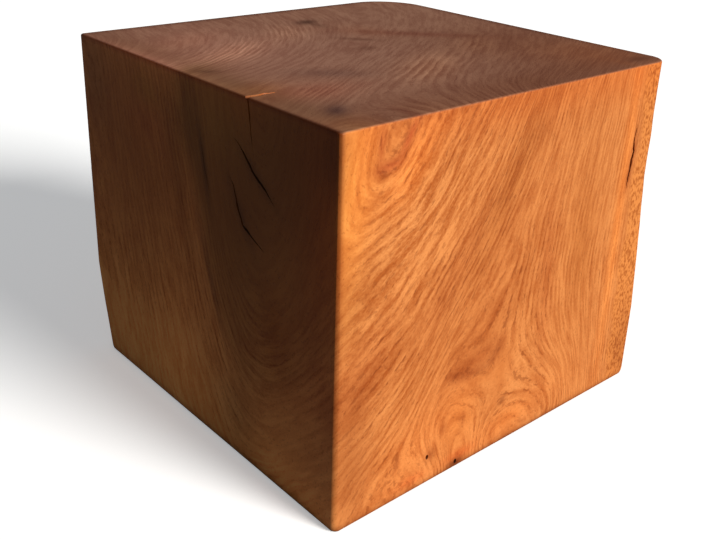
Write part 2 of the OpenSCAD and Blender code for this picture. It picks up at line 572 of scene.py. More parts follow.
@dataclass
class Wounds:
    """What breaks the faces: drying checks, borer holes and the nick in the arris.

    Sizes are in millimetres. A borer hole meets the face at a slant, which makes it an oval.
    """

    shape: BlockShape
    over: float = 3.0
    borer_d: float = 2.9
    borer_slant: float = 1.5
    borer_depth: float = 12.0
    borer_sides: int = 20
    borers: tuple[Point, ...] = ((93.0, 25.0), (126.0, 6.0))
    nick_w: float = 5.0
    nick_at: float = 52.0
    # A check wanders aside, and its width pinches and swells about a mean share
    wander: float = 1.6
    wander_scale: float = 0.31
    pinch: float = 0.5
    pinch_scale: float = 0.21
    mean_share: float = 0.85
    # It tapers to both ends, never to nothing, and down to its root
    blunt_ends: float = 0.02
    taper: float = 0.7
    least_w: float = 0.05
    root_share: float = 0.12
    checks: tuple[Check, ...] = (
        Check(Face.LEFT, ((245, 334), (247, 312), (246, 300), (248, 284), (250, 270), (251, 264)),
              1.7, 14.0),
        Check(Face.LEFT, ((228, 268), (234, 265), (243, 257), (252, 248), (264, 241), (276, 231)),
              2.3, 8.0),
        Check(Face.LEFT, ((222, 238), (227, 232), (232, 216), (238, 205), (250, 199), (264, 193)),
              2.2, 7.0),
        Check(Face.LEFT, ((184, 262), (187, 247), (190, 232), (196, 215), (198, 206)), 0.6, 3.0),
        Check(Face.FRONT, ((320, 251), (319, 236), (320, 228), (319, 218), (318, 205), (317, 194)),
              2.9, 10.0, ragged=0.9),
        Check(Face.TOP, ((-6, 96), (2, 98), (9, 97), (16, 98), (24, 97)), 4.8, 1.8,
              ragged=0.4, step=8.0),
    )

    def frame_of(self, face: Face) -> tuple[Vector, Vector, Vector]:
        """Gives a face's directions.

        Args:
            face: The face.

        Returns:
            Along it, up it and out of it, as unit vectors.
        """
        origin = Vector(self.shape.on_face(face, 0, 0))
        along = (Vector(self.shape.on_face(face, 1, 0)) - origin).normalized()
        up = (Vector(self.shape.on_face(face, 0, 1)) - origin).normalized()
        return along, up, along.cross(up).normalized()

    def ragged_run(self, check: Check) -> list[tuple[float, float, float]]:
        """Cuts a check's run into short steps that wander a little.

        Args:
            check: The check.

        Returns:
            (along, up, width) at each step.
        """
        corners = [Vector(p) for p in check.run]
        lengths = [(b - a).length for a, b in zip(corners, corners[1:])]
        total = sum(lengths)
        steps = []
        walked = 0.0
        for (a, b), length in zip(zip(corners, corners[1:]), lengths):
            cells = max(1, round(length / check.step))
            side = Vector((-(b - a).y, (b - a).x)).normalized()
            for cell in range(cells):
                at = a.lerp(b, cell / cells)
                place = (walked + length * cell / cells) / total
                scale = self.wander_scale
                aside = noise.noise(Vector((at.x * scale, at.y * scale, check.depth)))
                at = at + side * aside * check.ragged * self.wander
                scale = self.pinch_scale
                pinched = noise.noise(Vector((at.y * scale, at.x * scale, check.width)))
                held = min(max(place, self.blunt_ends), 1 - self.blunt_ends)
                swell = math.sin(math.pi * held) ** self.taper
                share = self.mean_share + self.pinch * pinched
                steps.append((at.x, at.y, check.width * swell * share))
            walked += length
        steps.append((corners[-1].x, corners[-1].y, self.least_w))
        return steps

    def check_cutter(self, check: Check) -> bpy.types.Mesh:
        """Builds the wedge that a check takes out of the wood.

        Args:
            check: The check.

        Returns:
            A closed mesh, in metres.
        """
        along, up, out = self.frame_of(check.face)
        steps = self.ragged_run(check)
        body = bmesh.new()
        rows = []
        for i, (x, y, width) in enumerate(steps):
            before, after = steps[max(i - 1, 0)], steps[min(i + 1, len(steps) - 1)]
            side = Vector((-(after[1] - before[1]), after[0] - before[0])).normalized()
            base = Vector(self.shape.on_face(check.face, x, y))
            flank = along * side.x + up * side.y
            row = []
            for reach, share in ((self.over, 1 + self.over / check.depth),
                                 (-check.depth, self.root_share)):
                half = flank * max(width, self.least_w) / 2 * share
                row += [base + out * reach + half, base + out * reach - half]
            rows.append([body.verts.new(p * MM) for p in row])
        for a, b in zip(rows, rows[1:]):
            for i, j in ((0, 1), (1, 3), (3, 2), (2, 0)):
                body.faces.new((a[i], a[j], b[j], b[i]))
        body.faces.new((rows[0][0], rows[0][2], rows[0][3], rows[0][1]))
        body.faces.new((rows[-1][0], rows[-1][1], rows[-1][3], rows[-1][2]))
        bmesh.ops.recalc_face_normals(body, faces=body.faces)
        mesh = bpy.data.meshes.new("check_cutter")
        body.to_mesh(mesh)
        body.free()
        return mesh

    def small_cutters(self) -> bpy.types.Mesh:
        """Builds the plugs of the borer holes and the ball that leaves the nick.

        Returns:
            A closed mesh of separate shells, in metres.
        """
        body = bmesh.new()
        for along, up in self.borers:
            x, y, z = self.shape.on_face(Face.FRONT, along, up)
            turn = Matrix.Rotation(math.radians(90), 4, "X")
            middle = Matrix.Translation(Vector((x, y + self.borer_depth / 2 - self.over, z)) * MM)
            oval = Matrix.Diagonal((1.0, 1.0, self.borer_slant, 1.0))
            bmesh.ops.create_cone(
                body, cap_ends=True, segments=self.borer_sides, matrix=middle @ oval @ turn,
                radius1=self.borer_d / 2 * MM, radius2=self.borer_d / 2 * MM,
                depth=(self.borer_depth + self.over) * MM)
        stand_off = self.nick_w / 4
        x, y, z = self.shape.on_face(Face.TOP, -stand_off, self.nick_at)
        place = Matrix.Translation(Vector((x, y, z + stand_off)) * MM)
        bmesh.ops.create_icosphere(
            body, subdivisions=2, radius=self.nick_w / 2 * MM, matrix=place)
        mesh = bpy.data.meshes.new("small_cutters")
        body.to_mesh(mesh)
        body.free()
        return mesh

    def cut_from(self, block: bpy.types.Object) -> None:
        """Cuts every wound out of the block's mesh.

        Args:
            block: The block, whose mesh is replaced by the cut one.
        """
        cutters = [self.check_cutter(check) for check in self.checks] + [self.small_cutters()]
        tools = []
        for mesh in cutters:
            tool = put_in_scene(mesh.name, mesh)
            cut = block.modifiers.new("wound", "BOOLEAN")
            cut.operation = "DIFFERENCE"
            cut.solver = "EXACT"
            cut.object = tool
            tools.append(tool)
        graph = bpy.context.evaluated_depsgraph_get()
        result = bpy.data.meshes.new_from_object(block.evaluated_get(graph))
        block.modifiers.clear()
        block.data = result
        for tool in tools:
            bpy.data.objects.remove(tool)
        for mesh in cutters:
            bpy.data.meshes.remove(mesh)


# ---- Growth rings ------------------------------------------------------------------------


@dataclass(frozen=True)
class RingLine:
    """One growth ring, followed over a face."""

    ring: float
    face: Face
    run: tuple[Point, ...]


@dataclass
class GrowthRings:
    """The ring number at any point of the wood, by its distance from an oval heart.

    Attributes:
        shape: The block.
        lines: The rings that were followed over its faces.
        pith: Where the pith meets the top.
        long_way: Which way the heart is longest, as an angle on the top.
        stretch: How much longer than wide the rings are.
        spacing: Distance between rings across the heart, in millimetres.
        taper: How much the rings close in below the top, as they do over a buried branch.
        heart_ring: The number at the pith.
        reach: How far a followed ring pulls on the wood, in millimetres.
        sample_step: Distance between the points that stand for a followed ring.
        pith_r: Rounds the rings at the pith, in millimetres.
        slack: How freely the rings may miss a followed point.
        batch: Points worked out at a time, to save memory.
    """

    shape: BlockShape
    lines: tuple[RingLine, ...]
    pith: Point = (142.0, 162.0)
    long_way: float = math.radians(40)
    stretch: float = 3.0
    spacing: float = 5.2
    taper: float = 0.55
    heart_ring: float = -13.0
    reach: float = 190.0
    sample_step: float = 16.0
    pith_r: float = 5.0
    slack: float = 0.02
    batch: int = 8000

    def plain(self, points: np.ndarray) -> np.ndarray:
        """Ring numbers of a straight log with an oval heart.

        Args:
            points: One point a row, in millimetres.

        Returns:
            One ring number a point.
        """
        x0, y0, top = self.shape.on_face(Face.TOP, *self.pith)
        dx, dy = points[:, 0] - x0, points[:, 1] - y0
        cosine, sine = math.cos(self.long_way), math.sin(self.long_way)
        across = -sine * dx + cosine * dy
        length = (cosine * dx + sine * dy) / self.stretch
        below = (top - points[:, 2]) * self.taper
        gone = np.sqrt(across ** 2 + length ** 2 + below ** 2 + self.pith_r ** 2)
        return self.heart_ring + gone / self.spacing

    def samples(self) -> tuple[np.ndarray, np.ndarray]:
        """Spreads points along the followed rings.

        Returns:
            The points, and the ring number at each.
        """
        places, rings = [], []
        for line in self.lines:
            for a, b in zip(line.run, line.run[1:]):
                cells = max(1, round(math.dist(a, b) / self.sample_step))
                for cell in range(cells):
                    share = cell / cells
                    spot = (a[0] + (b[0] - a[0]) * share, a[1] + (b[1] - a[1]) * share)
                    places.append(self.shape.on_face(line.face, *spot))
                    rings.append(line.ring)
            places.append(self.shape.on_face(line.face, *line.run[-1]))
            rings.append(line.ring)
        return np.array(places), np.array(rings)

    def pull(self, points: np.ndarray, places: np.ndarray) -> np.ndarray:
        """Works out how strongly each followed point pulls on each point of the wood.

        Args:
            points: Points of the wood, one a row, in millimetres.
            places: The followed points, one a row.

        Returns:
            One weight a pair, a row for each point of the wood, nothing beyond the reach.
        """
        lengths = (points ** 2).sum(1)[:, None] + (places ** 2).sum(1)[None, :]
        gap = np.sqrt(np.clip(lengths - 2.0 * points @ places.T, 0.0, None)) / self.reach
        left = np.clip(1.0 - gap, 0.0, None)
        left *= left
        return left * left * (4.0 * gap + 1.0)

    def number(self, points: np.ndarray) -> np.ndarray:
        """Ring number at each point, bent to run through the followed rings.

        Args:
            points: One point a row, in millimetres.

        Returns:
            One ring number a point.
        """
        result = self.plain(points)
        places, rings = self.samples()
        system = self.pull(places, places) + np.eye(len(places)) * self.slack
        weights = np.linalg.solve(system, rings - self.plain(places))
        for start in range(0, len(points), self.batch):
            part = slice(start, start + self.batch)
            result[part] += self.pull(points[part], places) @ weights
        return result


# Rings followed over the three faces that show the grain best, in millimetres along
# and up each face. Ring 0 is an arbitrary one; numbers fall towards the heart.
FRONT_RINGS: tuple[tuple[float, tuple[Point, ...]], ...] = (
    (-1.8, ((50, 300), (47, 289))),
    (-0.4, ((63, 300), (57, 288), (50, 278), (42, 271), (36, 272), (35, 284), (38, 300))),
    (0.8, ((74, 300), (66, 286), (56, 272), (46, 263), (36, 261), (28, 265), (27, 278),
           (32, 300))),
    (2.2, ((86, 300), (79, 288), (71, 278), (61, 266), (54, 257), (47, 252), (38, 249),
           (30, 243), (22, 238), (15, 239), (13, 250), (15, 264), (19, 280), (27, 299))),
    (3.4, ((98, 300), (84, 280), (70, 262), (58, 248), (40, 240), (26, 234), (13, 230),
           (7, 238), (6, 262), (10, 284), (15, 300))),
    (4.6, ((112, 300), (94, 277), (80, 255), (66, 243), (56, 238), (42, 233), (32, 230),
           (20, 224), (10, 214), (0, 206))),
    (6.0, ((121, 300), (104, 277), (90, 252), (72, 234), (60, 226), (50, 222), (38, 217),
           (28, 213), (18, 208), (9, 202), (0, 195))),
    (8.0, ((136, 300), (112, 268), (90, 240), (66, 214), (53, 207), (41, 201), (30, 193),
           (18, 186), (7, 179), (0, 174))),
    (10.5, ((148, 300), (118, 256), (90, 222), (60, 190), (30, 165), (11, 156), (0, 148))),
    (14.2, ((165, 300), (140, 250), (110, 208), (80, 172), (53, 145), (38, 136), (25, 126),
            (0, 108))),
    (18.0, ((180, 300), (155, 250), (130, 205), (100, 160), (70, 122), (45, 100), (20, 82),
            (0, 68))),
    (22.0, ((196, 300), (180, 260), (160, 222), (135, 180), (100, 132), (75, 98), (50, 70),
            (25, 48), (0, 28))),
    (26.0, ((207, 300), (194, 255), (176, 215), (152, 175), (128, 140), (104, 112), (88, 88),
            (72, 62), (50, 35), (25, 8))),
    (30.0, ((223, 300), (217, 275), (210, 248), (203, 225), (192, 200), (189, 168), (180, 140),
            (171, 120), (168, 98), (150, 84), (125, 86), (110, 92))),
    (28.3, ((104, 90), (90, 64), (86, 51), (88, 37), (95, 22), (106, 8))),
    (31.2, ((110, 2), (104, 16), (99, 32), (97, 48), (100, 64), (108, 73), (120, 71),
            (132, 69), (142, 66), (151, 58), (155, 48), (152, 34), (149, 18), (148, 4))),
    (32.2, ((121, 58), (128, 60), (135, 56))),
    (33.4, ((123, 40), (129, 43), (135, 39))),
    (34.6, ((124, 20), (130, 24), (136, 20))),
    (35.6, ((126, 2), (130, 6), (134, 2))),
    (31.0, ((187, 62), (191, 53), (202, 48), (214, 42), (226, 33), (238, 18))),
    (32.0, ((232, 300), (222, 262), (211, 225), (203, 200), (197, 168), (193, 140), (192, 113),
            (191, 100), (194, 86), (200, 76), (208, 69), (221, 56), (236, 40), (246, 18))),
    (34.0, ((241, 300), (228, 250), (214, 200), (206, 150), (203, 122), (205, 102), (208, 93),
            (216, 77), (230, 63), (246, 42), (256, 19))),
    (29.6, ((151, 8), (160, 24), (172, 33), (183, 41), (194, 41), (206, 36), (216, 29),
            (226, 18))),
    (28.0, ((168, 6), (180, 17), (192, 20), (204, 12))),
    (40.0, ((266, 300), (254, 250), (242, 200), (236, 150), (239, 110), (248, 80), (262, 50),
            (272, 15))),
    (46.5, ((287, 300), (278, 240), (268, 180), (265, 130), (271, 95), (281, 60), (288, 20))),
    (52.5, ((306, 300), (300, 240), (294, 180), (291, 140), (293, 100), (299, 60), (303, 20))),
    (58.0, ((325, 300), (321, 240), (318, 180), (317, 100), (320, 20))),
    (64.0, ((347, 300), (345, 150), (346, 20))),
)

LEFT_RINGS: tuple[tuple[float, tuple[Point, ...]], ...] = (
    (-12.0, ((255, 300), (262, 285), (270, 300))),
    (-8.0, ((236, 300), (243, 270), (255, 243), (268, 238), (280, 255), (288, 300))),
    (-4.5, ((220, 300), (224, 262), (234, 226), (248, 203), (265, 197), (281, 212),
            (294, 245), (305, 300))),
    (-1.0, ((204, 300), (208, 258), (216, 215), (232, 180), (252, 163), (270, 164),
            (287, 182), (303, 215), (318, 260), (322, 300))),
    (2.5, ((190, 300), (196, 250), (204, 205), (217, 165), (236, 139), (256, 130), (276, 137),
           (295, 160), (312, 190), (326, 225), (334, 262), (335, 300))),
    (6.0, ((176, 300), (183, 261), (187, 247), (190, 233), (198, 205), (207, 165), (222, 128),
           (243, 105), (265, 103), (288, 118), (310, 142), (330, 172), (343, 204))),
    (10.5, ((158, 300), (166, 250), (176, 210), (186, 170), (197, 135), (210, 104), (230, 78),
            (255, 70), (285, 86), (312, 110), (344, 148))),
    (14.2, ((142, 300), (150, 250), (160, 205), (170, 165), (181, 128), (194, 92), (212, 58),
            (240, 36), (262, 36), (290, 56), (318, 80), (345, 108))),
    (18.0, ((122, 300), (132, 240), (143, 190), (154, 145), (166, 100), (180, 62), (198, 28),
            (205, 12))),
    (18.0, ((262, 2), (285, 20), (315, 42), (345, 68))),
    (22.0, ((100, 300), (110, 240), (122, 180), (136, 120), (150, 70), (165, 25))),
    (22.0, ((318, 2), (346, 28))),
    (28.0, ((66, 300), (74, 240), (84, 180), (96, 120), (108, 70), (120, 20))),
    (34.0, ((30, 300), (38, 240), (46, 180), (56, 120), (66, 70), (76, 20))),
)

TOP_RINGS: tuple[tuple[float, tuple[Point, ...]], ...] = (
    (-12.0, ((0, 82), (60, 112), (110, 142), (150, 170), (190, 205), (225, 240), (260, 280),
             (290, 342))),
    (-8.0, ((0, 106), (50, 128), (100, 154), (140, 182), (172, 210), (200, 240), (228, 280),
            (250, 342))),
    (-4.5, ((0, 122), (50, 142), (95, 164), (130, 190), (160, 218), (185, 250), (208, 290),
            (225, 342))),
    (-1.0, ((0, 138), (45, 154), (85, 172), (122, 200), (152, 232), (172, 262), (190, 300),
            (204, 342))),
    (2.5, ((0, 152), (40, 166), (80, 186), (115, 212), (140, 240), (158, 270), (172, 300),
           (185, 342))),
    (6.0, ((0, 166), (35, 180), (70, 200), (103, 226), (125, 250), (142, 278), (158, 310),
           (168, 342))),
    (10.5, ((0, 184), (30, 196), (60, 214), (88, 238), (110, 264), (128, 295), (142, 342))),
    (14.2, ((0, 200), (30, 214), (58, 236), (82, 262), (100, 295), (115, 342))),
    (18.0, ((0, 220), (28, 236), (50, 258), (70, 290), (85, 342))),
    (22.0, ((0, 242), (22, 258), (42, 285), (58, 342))),
    (28.0, ((0, 276), (18, 300), (28, 342))),
    (-8.0, ((0, 54), (50, 84), (110, 122), (160, 152), (210, 186), (260, 230), (305, 280),
            (335, 330))),
    (-4.5, ((0, 37), (50, 66), (110, 102), (165, 136), (220, 172), (270, 212), (318, 262),
            (350, 310))),
    (-1.0, ((0, 20), (45, 46), (100, 80), (160, 116), (220, 152), (275, 192), (325, 238),
            (356, 275))),
    (3.4, ((98, 0), (108, 32), (130, 58), (165, 84), (217, 118), (270, 155), (320, 198),
           (356, 235))),
    (8.0, ((136, 0), (145, 28), (168, 52), (210, 80), (260, 112), (310, 150), (356, 190))),
    (14.2, ((165, 0), (178, 22), (205, 42), (245, 66), (290, 92), (330, 118), (356, 138))),
    (22.0, ((196, 0), (210, 14), (240, 30), (280, 52), (320, 74), (356, 95))),
    (32.0, ((232, 0), (255, 12), (290, 30), (325, 48), (356, 64))),
    (40.0, ((266, 0), (285, 10), (320, 26), (356, 42))),
    (52.5, ((306, 0), (330, 10), (356, 20))),
)

RING_LINES: tuple[RingLine, ...] = tuple(
    RingLine(ring, face, run)
    for face, rings in (
        (Face.FRONT, FRONT_RINGS), (Face.LEFT, LEFT_RINGS), (Face.TOP, TOP_RINGS))
    for ring, run in rings
)


# ---- Stains and painted light ------------------------------------------------------------


@dataclass(frozen=True)
class StainAndPaintedLight:
    """A soft patch where the wood is darker, redder, greyer or paler than the rest. Most are the
    wood's own colour; some are painted light and shade: highlights on arrises, shadow along the
    foot and bounce light on the left foot.

    Attributes:
        face: The face that it lies on.
        at: Its middle, in millimetres along and up the face.
        reach: Distances along and across it at which little of it is left.
        turn: How far it is turned anticlockwise, in degrees.
        seen: What white would look like in the middle of it, before the gain.
        strength: Share of it that shows.
        gain: How much brighter than its colour it makes the wood.
        soak: How deep it goes into the wood, and so how far round an arris.
        inside_ring: It keeps to the wood inside this growth ring.
        clears: How clearly the rings stand out in it.
        calms: How far it evens out the grain.
    """

    face: Face
    at: Point
    reach: Point
    turn: float
    seen: str
    strength: float = 0.5
    gain: float = 1.0
    soak: float = 30.0
    inside_ring: float = math.inf
    clears: float = 0.0
    calms: float = 0.0
    ring_fade: float = 5.0

    def share(self, points: np.ndarray, rings: np.ndarray, shape: BlockShape) -> np.ndarray:
        """How much of the patch each point takes.

        Args:
            points: One point a row, in millimetres.
            rings: The ring number at each point.
            shape: The block.

        Returns:
            A share from 0 to the patch's strength.
        """
        origin = np.array(shape.on_face(self.face, *self.at))
        along = np.array(shape.on_face(self.face, self.at[0] + 1, self.at[1])) - origin
        up = np.array(shape.on_face(self.face, self.at[0], self.at[1] + 1)) - origin
        out = np.cross(along, up)
        gone = points - origin
        x, y, z = gone @ along, gone @ up, gone @ out
        cosine, sine = math.cos(math.radians(self.turn)), math.sin(math.radians(self.turn))
        longways = (cosine * x + sine * y) / self.reach[0]
        across = (cosine * y - sine * x) / self.reach[1]
        soaked = np.exp(-(longways ** 2 + across ** 2 + (z / self.soak) ** 2))
        return self.strength * soaked * smooth_step((self.inside_ring - rings) / self.ring_fade)


STAINS_AND_LIGHT: tuple[StainAndPaintedLight, ...] = (
    # Front: browner across the middle, red-brown at the top left curl, pale knot and foot
    StainAndPaintedLight(Face.FRONT, (150, 172), (120, 62), 52, "#F1E8E2", 1.0),
    StainAndPaintedLight(Face.FRONT, (20, 120), (50, 24), 45, "#E3D0C4", 0.9),
    StainAndPaintedLight(Face.FRONT, (108, 172), (60, 14), 55, "#E8D8CC", 0.7),
    StainAndPaintedLight(Face.FRONT, (165, 235), (70, 13), 62, "#E6DCCB", 0.8),
    StainAndPaintedLight(Face.FRONT, (145, 112), (42, 20), 35, "#E8D6C4", 0.7),
    StainAndPaintedLight(Face.FRONT, (220, 135), (80, 9), 93, "#E8D3C4", 0.7),
    StainAndPaintedLight(Face.FRONT, (264, 160), (70, 20), 94, "#E8DCC8", 0.8),
    StainAndPaintedLight(Face.FRONT, (146, 94), (30, 9), 11, "#D8BEA8", 0.8),
    StainAndPaintedLight(Face.FRONT, (116, 88), (11, 4), -28, "#B5845C", 0.45),
    StainAndPaintedLight(Face.FRONT, (140, 83), (17, 4), 2, "#B5845C", 0.5),
    StainAndPaintedLight(Face.FRONT, (163, 90), (10, 4), 48, "#B5845C", 0.45),
    StainAndPaintedLight(Face.FRONT, (58, 288), (16, 3.5), 60, "#C68078", 0.75),
    StainAndPaintedLight(Face.FRONT, (41, 271), (12, 4.5), 8, "#C68078", 0.7),
    StainAndPaintedLight(Face.FRONT, (34, 286), (15, 3), 86, "#C68A78", 0.6),
    StainAndPaintedLight(Face.FRONT, (15, 262), (24, 2.6), 80, "#C48A58", 0.45),
    StainAndPaintedLight(Face.FRONT, (178, 42), (5, 3), 30, "#8A5A3A", 0.6),
    StainAndPaintedLight(Face.FRONT, (60, 33), (7, 2.5), 75, "#A87850", 0.5),
    StainAndPaintedLight(Face.FRONT, (110, 44), (6, 2.5), 88, "#A87850", 0.5),
    StainAndPaintedLight(Face.FRONT, (131, 42), (8, 2.5), 88, "#A87850", 0.5),
    StainAndPaintedLight(Face.FRONT, (174, 76), (24, 11), 80, "#FFF8EE", 0.8, calms=1.2),
    StainAndPaintedLight(Face.FRONT, (150, 74), (16, 6), -10, "#FFF8EE", 0.6, calms=1.2),
    # Painted shadow: a dark line along the front's foot arris, where it meets the floor
    StainAndPaintedLight(Face.FRONT, (178, 0), (260, 4.2), 0, "#8A6C62", 0.9, soak=6.0),
    StainAndPaintedLight(Face.FRONT, (96, 26), (5, 6), 0, "#A87850", 0.6),
    StainAndPaintedLight(Face.FRONT, (126, 5), (9, 4), 0, "#80593C", 0.85),
    StainAndPaintedLight(Face.FRONT, (320, 222), (27, 2.6), 82, "#B07848", 0.6),
    StainAndPaintedLight(Face.FRONT, (317, 200), (14, 4), 70, "#B07848", 0.4),
    StainAndPaintedLight(Face.FRONT, (78, 38), (60, 30), 40, "#FFF6EC", 0.8, 1.12),
    StainAndPaintedLight(Face.FRONT, (180, 18), (70, 16), 10, "#FFF6EC", 0.7, 1.08),
    StainAndPaintedLight(Face.FRONT, (128, 46), (19, 27), 0, "#FFF4E0", 0.8, 1.06, calms=0.5),
    StainAndPaintedLight(Face.FRONT, (130, 11), (16, 5), 0, "#FFC0A0", 0.5),
    StainAndPaintedLight(Face.FRONT, (76, 11), (14, 5), 0, "#FFC0A0", 0.45),
    StainAndPaintedLight(Face.FRONT, (280, 160), (60, 150), 0, "#FFFFFF", 1.0, calms=0.3),
    StainAndPaintedLight(Face.FRONT, (188, 22), (20, 10), 0, "#FFF4E0", 0.5, 1.05, calms=1.2),
    StainAndPaintedLight(Face.FRONT, (12, 262), (70, 18), 82, "#FFF4D8", 1.0, 1.5),
    StainAndPaintedLight(Face.FRONT, (62, 268), (34, 16), 50, "#FFF4DC", 0.8, 1.3),
    StainAndPaintedLight(Face.FRONT, (312, 190), (150, 7), 90, "#FFF4DC", 0.9, 1.22),
    StainAndPaintedLight(Face.FRONT, (70, 215), (110, 70), 48, "#FFFFFF", 1.0, clears=1.0),
    StainAndPaintedLight(Face.FRONT, (205, 298), (185, 20), 0, "#FFF8EC", 0.9, 1.22, soak=3.0),
    # Painted highlight: a paler, cooler strip down the top of the front left edge
    StainAndPaintedLight(Face.FRONT, (6, 272), (14, 44), 0, "#DCF0FF", 0.9, 1.7, soak=3.0),
    StainAndPaintedLight(Face.FRONT, (14, 44), (22, 66), 0, "#F4E6DC", 0.9, 0.78, soak=3.0),
    StainAndPaintedLight(Face.FRONT, (350, 34), (22, 46), 0, "#F4E8E0", 0.9, 0.82, soak=3.0),
    # Top: a redder front strip, clear pale rings in patches, grey-purple heart and knot marks
    StainAndPaintedLight(Face.TOP, (190, 14), (230, 36), 4, "#DECABC", 0.95),
    StainAndPaintedLight(Face.TOP, (300, 120), (110, 60), 35, "#EED8CA", 0.6),
    StainAndPaintedLight(Face.TOP, (66, 212), (52, 20), 28, "#FFFAF4", 0.9, 1.3, clears=1.0),
    StainAndPaintedLight(Face.TOP, (152, 252), (34, 20), 48, "#FFFCF6", 0.7, 1.15, clears=1.0),
    StainAndPaintedLight(Face.TOP, (18, 108), (22, 16), 20, "#FFEFD6", 0.8, 1.25),
    StainAndPaintedLight(Face.TOP, (166, 92), (52, 22), 32, "#FFF8EC", 0.8, 1.25, clears=1.0),
    StainAndPaintedLight(Face.TOP, (258, 130), (32, 17), 40, "#FFF8EC", 0.5, 1.1, clears=1.0),
    StainAndPaintedLight(Face.TOP, (60, 268), (45, 24), 30, "#FFF6F0", 0.7, 1.15),
    StainAndPaintedLight(Face.TOP, (215, 225), (20, 30), 10, "#FFFDF6", 0.7, 1.15),
    StainAndPaintedLight(Face.TOP, (196, 283), (13, 8), 14, "#6E5648", 0.75),
    StainAndPaintedLight(Face.TOP, (196, 268), (6, 14), 0, "#9A8474", 0.5),
    StainAndPaintedLight(Face.TOP, (243, 192), (78, 12), -43, "#CFA296", 0.6),
    StainAndPaintedLight(Face.TOP, (187, 199), (18, 5), -48, "#A98C80", 0.6),
    StainAndPaintedLight(Face.TOP, (170, 168), (9, 6), 20, "#B29A8E", 0.5),
    StainAndPaintedLight(Face.TOP, (90, 118), (30, 12), -38, "#BDB6C0", 0.55),
    StainAndPaintedLight(Face.TOP, (17, 171), (10, 4), -30, "#A89894", 0.5),
    StainAndPaintedLight(Face.TOP, (29, 39), (14, 8), 45, "#80789C", 0.75),
    StainAndPaintedLight(Face.TOP, (44, 84), (42, 22), 0, "#FFDCD2", 0.7, 1.12, clears=0.6),
    StainAndPaintedLight(Face.TOP, (336, 16), (15, 7), 0, "#A89484", 0.6),
    StainAndPaintedLight(Face.TOP, (178, 339), (230, 6), 0, "#A8938C", 0.7, soak=10.0),
    StainAndPaintedLight(Face.TOP, (352, 190), (170, 5), 90, "#A8938C", 0.6, soak=10.0),
    StainAndPaintedLight(Face.TOP, (325, 50), (60, 50), 0, "#FFE8CC", 0.8, 1.15),
    # Painted highlight: a paler, cooler strip along the top's left arris
    StainAndPaintedLight(Face.TOP, (0, 180), (10, 165), 0, "#F0F2FF", 0.9, 1.9, soak=3.0),
    StainAndPaintedLight(Face.TOP, (12, 160), (26, 62), 0, "#FFFBFF", 0.8, 1.25),
    StainAndPaintedLight(Face.TOP, (60, 250), (70, 90), 0, "#FBF8FF", 0.6, 1.26),
    StainAndPaintedLight(Face.TOP, (120, 180), (120, 120), 0, "#F8F8FF", 0.7, 1.08),
    StainAndPaintedLight(Face.TOP, (300, 110), (80, 80), 0, "#FFF8F0", 0.8, 0.82),
    # Left: grey-olive heartwood that narrows downwards, red-brown to its right, a paler foot
    # painted as bounce light from the floor, and a painted shadow along the foot arris
    StainAndPaintedLight(Face.LEFT, (215, 250), (150, 190), 0, "#BBB89A", 1.0, inside_ring=13.0),
    StainAndPaintedLight(Face.LEFT, (160, 268), (20, 46), 6, "#C6C6A2", 0.85),
    StainAndPaintedLight(Face.LEFT, (150, 210), (70, 9), -76, "#DCD4B8", 0.6),
    StainAndPaintedLight(Face.LEFT, (171, 299), (320, 1.8), 0, "#C09488", 0.8, soak=2.0),
    # Painted shadow: a dark line along the left face's foot arris, where it meets the floor
    StainAndPaintedLight(Face.LEFT, (171, 0), (320, 4.4), 0, "#787070", 0.95, soak=6.0),
    StainAndPaintedLight(Face.LEFT, (108, 275), (26, 13), -10, "#E6F0C8", 0.7),
    StainAndPaintedLight(Face.LEFT, (106, 250), (30, 20), -10, "#F2D0CC", 0.45),
    StainAndPaintedLight(Face.LEFT, (218, 272), (46, 26), 0, "#F0FFFF", 0.8, 1.14),
    StainAndPaintedLight(Face.LEFT, (258, 105), (16, 45), 0, "#FFFFFF", 1.0, clears=1.0),
    StainAndPaintedLight(Face.LEFT, (275, 135), (24, 34), 0, "#E2CCA4", 0.9, soak=3.0),
    StainAndPaintedLight(Face.LEFT, (225, 38), (28, 34), 0, "#DCE0E6", 0.9),
    StainAndPaintedLight(Face.LEFT, (305, 60), (80, 60), 0, "#FFFFFF", 1.0, calms=0.8),
    StainAndPaintedLight(Face.LEFT, (305, 272), (70, 75), 0, "#CBC2BC", 1.0, soak=3.0),
    StainAndPaintedLight(Face.LEFT, (20, 270), (26, 40), 0, "#D0D4DC", 0.6),
    StainAndPaintedLight(Face.LEFT, (240, 215), (40, 70), 0, "#CFC3B8", 0.7),
    StainAndPaintedLight(Face.LEFT, (328, 210), (38, 120), 0, "#DDC0AC", 0.9, soak=3.0),
    StainAndPaintedLight(Face.LEFT, (256, 246), (26, 4.0), -36, "#8C7A68", 0.5, soak=8.0),
    StainAndPaintedLight(Face.LEFT, (236, 212), (28, 4.0), -58, "#8C7A68", 0.5, soak=8.0),
    StainAndPaintedLight(Face.LEFT, (189, 236), (34, 3.4), -80, "#8C7A68", 0.7, soak=8.0),
    StainAndPaintedLight(Face.LEFT, (194, 143), (38, 3.2), -71, "#8C7A68", 0.6, soak=8.0),
    StainAndPaintedLight(Face.LEFT, (75, 230), (125, 110), 0, "#C9B896", 0.9, calms=0.7),
    StainAndPaintedLight(Face.LEFT, (270, 240), (110, 95), 0, "#FFFFFF", 1.0, calms=1.4),
    # Painted bounce light: the lower part of the left face made paler and cooler towards the foot
    StainAndPaintedLight(Face.LEFT, (60, -5), (165, 92), 0, "#DBF0FF", 1.0, 2.85, calms=0.6),
    StainAndPaintedLight(Face.LEFT, (300, 8), (90, 30), 0, "#F4FAFF", 0.9, 1.55, soak=3.0),
